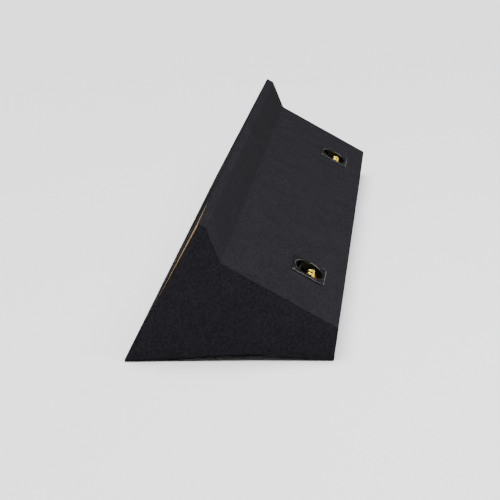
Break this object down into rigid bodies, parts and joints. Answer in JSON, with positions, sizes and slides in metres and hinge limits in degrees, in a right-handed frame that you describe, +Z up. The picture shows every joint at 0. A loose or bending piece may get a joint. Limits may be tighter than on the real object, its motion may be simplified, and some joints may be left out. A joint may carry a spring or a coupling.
{
  "type": "carpeted twin-woofer speaker enclosure",
  "caption": "Long low wedge-shaped speaker enclosure in black carpet, with a leaning woofer board, recessed binding-post cups and a bent floor.",
  "frame": {"origin": "centre of the bounding box's base, on the surface that the box stands on", "axes": "+X along the box to the right as seen from the woofer side, -Y towards the woofer side, +Z up"},
  "size_m": [1.37, 0.3908, 0.26],
  "materials": {
    "mdf": "raw MDF, matt",
    "carpet": "black needled trunk carpet",
    "cup_plastic": "moulded ABS, semi-gloss",
    "foam": "closed-cell foam",
    "black_screws": "black oxide steel",
    "gold_plate": "gold-plated brass",
    "red_plastic": "red ABS",
    "black_plastic": "black ABS",
    "frame_paint": "black powder coat",
    "trim_rubber": "moulded rubber",
    "surround_rubber": "butyl rubber",
    "cone_paper": "pressed paper pulp, black",
    "cap_plastic": "polypropylene",
    "copper_coil": "enamelled copper on a paper former",
    "spider_cloth": "resin-treated cotton",
    "zinc_steel": "zinc-plated steel",
    "ferrite": "sintered ferrite",
    "tag_board": "phenolic board with tinned tabs",
    "lead_insulation": "PVC insulation"
  },
  "bodies": {
    "cabinet": {"front_baffle": "mdf", "upper_rear_panel": "mdf", "terminal_panel": "mdf", "rear_panel": "mdf", "floor_panel_rear": "mdf", "floor_panel_front": "mdf", "end_panel_right": "mdf", "end_panel_left": "mdf", "centre_divider": "mdf", "carpet_front": "carpet", "carpet_wrap": "carpet", "carpet_floor": "carpet", "carpet_end_right": "carpet", "carpet_end_left": "carpet", "terminal_cup_right": "cup_plastic", "terminal_cup_left": "cup_plastic", "cup_gasket_right": "foam", "cup_gasket_left": "foam", "cup_screws": "black_screws", "post_studs_right": "gold_plate", "post_studs_left": "gold_plate", "post_nuts": "gold_plate", "woofer_frame_right": "frame_paint", "woofer_frame_left": "frame_paint", "trim_gasket_right": "trim_rubber", "trim_gasket_left": "trim_rubber", "surround_right": "surround_rubber", "surround_left": "surround_rubber", "spider_right": "spider_cloth", "spider_left": "spider_cloth", "top_plate_right": "zinc_steel", "top_plate_left": "zinc_steel", "magnet_right": "ferrite", "magnet_left": "ferrite", "back_plate_right": "zinc_steel", "back_plate_left": "zinc_steel", "tag_strip_right": "tag_board", "tag_strip_left": "tag_board", "woofer_screws": "black_screws", "tee_nuts": "zinc_steel", "speaker_lead_right": "lead_insulation", "speaker_lead_left": "lead_insulation"},
    "cone_assembly_right": {"cone_right": "cone_paper", "dust_cap_right": "cap_plastic", "voice_coil_right": "copper_coil"},
    "red_collar_right_body": {"red_collar_right": "red_plastic"},
    "red_knob_right_body": {"red_knob_right": "gold_plate"},
    "black_collar_right_body": {"black_collar_right": "black_plastic"},
    "black_knob_right_body": {"black_knob_right": "gold_plate"},
    "cone_assembly_left": {"cone_left": "cone_paper", "dust_cap_left": "cap_plastic", "voice_coil_left": "copper_coil"},
    "red_collar_left_body": {"red_collar_left": "red_plastic"},
    "red_knob_left_body": {"red_knob_left": "gold_plate"},
    "black_collar_left_body": {"black_collar_left": "black_plastic"},
    "black_knob_left_body": {"black_knob_left": "gold_plate"}
  },
  "joints": [
    {"name": "cone_travel_right", "type": "slide", "parent": "cabinet", "child": "cone_assembly_right", "axis": [0, -0.8695, 0.4939], "range_m": [-0.006, 0.006], "stiffness_N_per_m": 4300, "deforming": ["surround_right", "spider_right"]},
    {"name": "red_knob_right_lift", "type": "slide", "parent": "cabinet", "child": "red_collar_right_body", "axis": [0, -0.1564, 0.9877], "range_m": [0, 0.005]},
    {"name": "red_knob_right_turn", "type": "hinge", "parent": "red_collar_right_body", "child": "red_knob_right_body", "pos_m": [0.4575, 0.13216, 0.09962], "axis": [0, -0.1564, 0.9877], "range_deg": [0, 2250.1]},
    {"name": "black_knob_right_lift", "type": "slide", "parent": "cabinet", "child": "black_collar_right_body", "axis": [0, -0.1564, 0.9877], "range_m": [0, 0.005]},
    {"name": "black_knob_right_turn", "type": "hinge", "parent": "black_collar_right_body", "child": "black_knob_right_body", "pos_m": [0.4765, 0.13216, 0.09962], "axis": [0, -0.1564, 0.9877], "range_deg": [0, 2250.1]},
    {"name": "cone_travel_left", "type": "slide", "parent": "cabinet", "child": "cone_assembly_left", "axis": [0, -0.8695, 0.4939], "range_m": [-0.006, 0.006], "stiffness_N_per_m": 4300, "deforming": ["surround_left", "spider_left"]},
    {"name": "red_knob_left_lift", "type": "slide", "parent": "cabinet", "child": "red_collar_left_body", "axis": [0, -0.1564, 0.9877], "range_m": [0, 0.005]},
    {"name": "red_knob_left_turn", "type": "hinge", "parent": "red_collar_left_body", "child": "red_knob_left_body", "pos_m": [-0.4765, 0.13216, 0.09962], "axis": [0, -0.1564, 0.9877], "range_deg": [0, 2250.1]},
    {"name": "black_knob_left_lift", "type": "slide", "parent": "cabinet", "child": "black_collar_left_body", "axis": [0, -0.1564, 0.9877], "range_m": [0, 0.005]},
    {"name": "black_knob_left_turn", "type": "hinge", "parent": "black_collar_left_body", "child": "black_knob_left_body", "pos_m": [-0.4575, 0.13216, 0.09962], "axis": [0, -0.1564, 0.9877], "range_deg": [0, 2250.1]}
  ],
  "couplings": [
    {"joint": "red_knob_right_turn", "follows": "red_knob_right_lift", "rad_per_m": 7854},
    {"joint": "black_knob_right_turn", "follows": "black_knob_right_lift", "rad_per_m": 7854},
    {"joint": "red_knob_left_turn", "follows": "red_knob_left_lift", "rad_per_m": 7854},
    {"joint": "black_knob_left_turn", "follows": "black_knob_left_lift", "rad_per_m": 7854}
  ]
}
